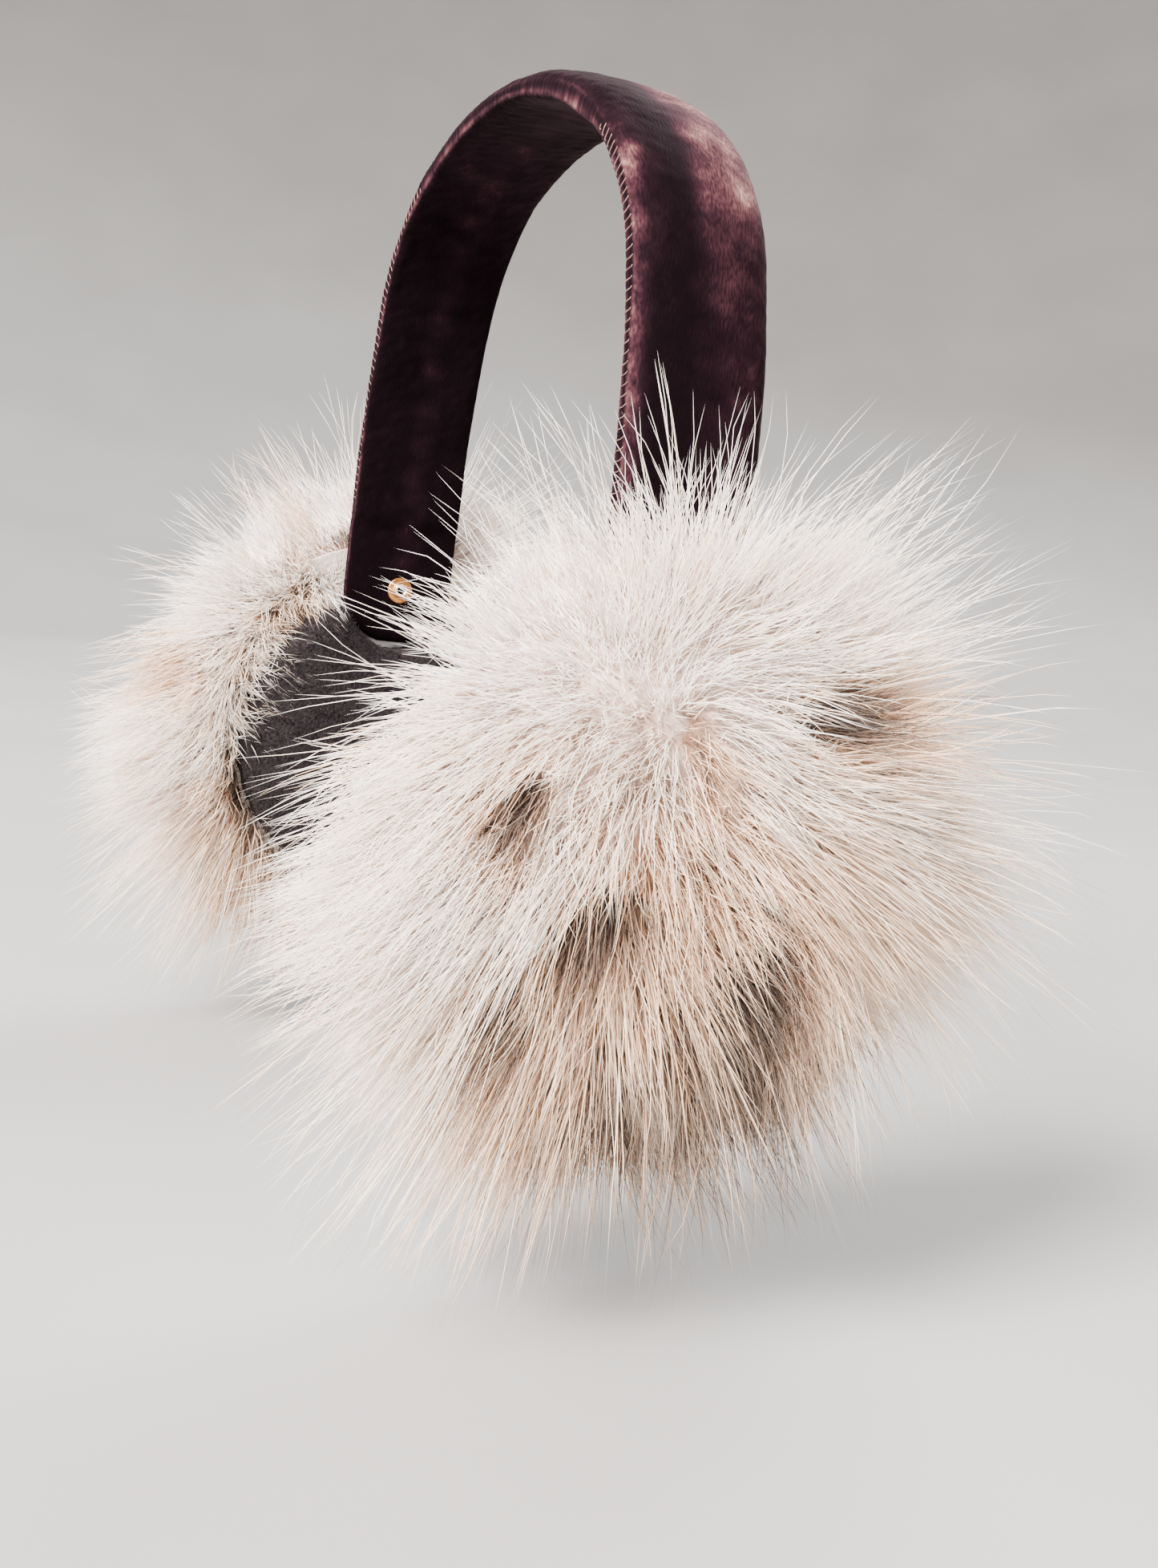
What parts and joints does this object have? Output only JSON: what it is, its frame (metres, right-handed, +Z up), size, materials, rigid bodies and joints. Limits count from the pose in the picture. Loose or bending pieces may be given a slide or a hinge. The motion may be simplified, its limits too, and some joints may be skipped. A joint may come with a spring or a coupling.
{
  "type": "fur earmuffs",
  "caption": "Earmuffs: a sprung velvet-covered headband with a round long-haired fur muff riveted to each end, each muff turning on its rivet.",
  "frame": {"origin": "midway between the centres of the two muffs, where the middle of the wearer's head is", "axes": "+X from ear to ear towards the muff called right, Y from front to back, +Z up to the crown of the band"},
  "size_m": [0.2406, 0.132, 0.2126],
  "materials": {
    "velvet": "near-black aubergine pile with a mauve sheen",
    "closing_thread": "dark waxed thread",
    "spring_steel": "blued flat spring steel",
    "brass": "worn satin brass",
    "nylon": "natural nylon",
    "tab_steel": "plated steel",
    "board": "moulded fibre board",
    "wadding": "white polyester wadding",
    "pelt": "dressed hide",
    "gathering_cord": "cotton cord",
    "fur": "long cream fur with brown spots",
    "foam": "open-cell foam",
    "plush": "short black plush"
  },
  "bodies": {
    "crown": {"band_wadding_crown": "wadding", "closing_thread_crown": "closing_thread", "spring_strip_crown": "spring_steel", "velvet_sleeve_crown": "velvet"},
    "right_arm": {"spring_strip_right": "spring_steel", "band_wadding_right": "wadding", "velvet_sleeve_right": "velvet", "closing_thread_right": "closing_thread", "rivet_right": "brass", "brass_washer_right": "brass", "friction_washer_right": "nylon"},
    "right_muff": {"backing_disc_right": "board", "ear_foam_right": "foam", "ear_lining_right": "plush", "fur_right": "fur", "gathering_cord_right": "gathering_cord", "hinge_tab_right": "tab_steel", "muff_wadding_right": "wadding", "pelt_right": "pelt", "tab_rivets_right": "tab_steel"},
    "left_arm": {"spring_strip_left": "spring_steel", "band_wadding_left": "wadding", "velvet_sleeve_left": "velvet", "closing_thread_left": "closing_thread", "rivet_left": "brass", "brass_washer_left": "brass", "friction_washer_left": "nylon"},
    "left_muff": {"backing_disc_left": "board", "ear_foam_left": "foam", "ear_lining_left": "plush", "fur_left": "fur", "gathering_cord_left": "gathering_cord", "hinge_tab_left": "tab_steel", "muff_wadding_left": "wadding", "pelt_left": "pelt", "tab_rivets_left": "tab_steel"}
  },
  "joints": [
    {"name": "right_spring", "type": "hinge", "parent": "crown", "child": "right_arm", "pos_m": [0.0459, 0, 0.1345], "axis": [0, -1, 0], "range_deg": [-6, 16], "stiffness_Nm_per_rad": 1.3},
    {"name": "right_swivel", "type": "hinge", "parent": "right_arm", "child": "right_muff", "pos_m": [0.07157, 0, 0.034], "axis": [1, 0, 0], "range_deg": [-40, 40]},
    {"name": "left_spring", "type": "hinge", "parent": "crown", "child": "left_arm", "pos_m": [-0.0459, 0, 0.1345], "axis": [0, 1, 0], "range_deg": [-6, 16], "stiffness_Nm_per_rad": 1.3},
    {"name": "left_swivel", "type": "hinge", "parent": "left_arm", "child": "left_muff", "pos_m": [-0.07157, 0, 0.034], "axis": [1, 0, 0], "range_deg": [-40, 40]}
  ]
}
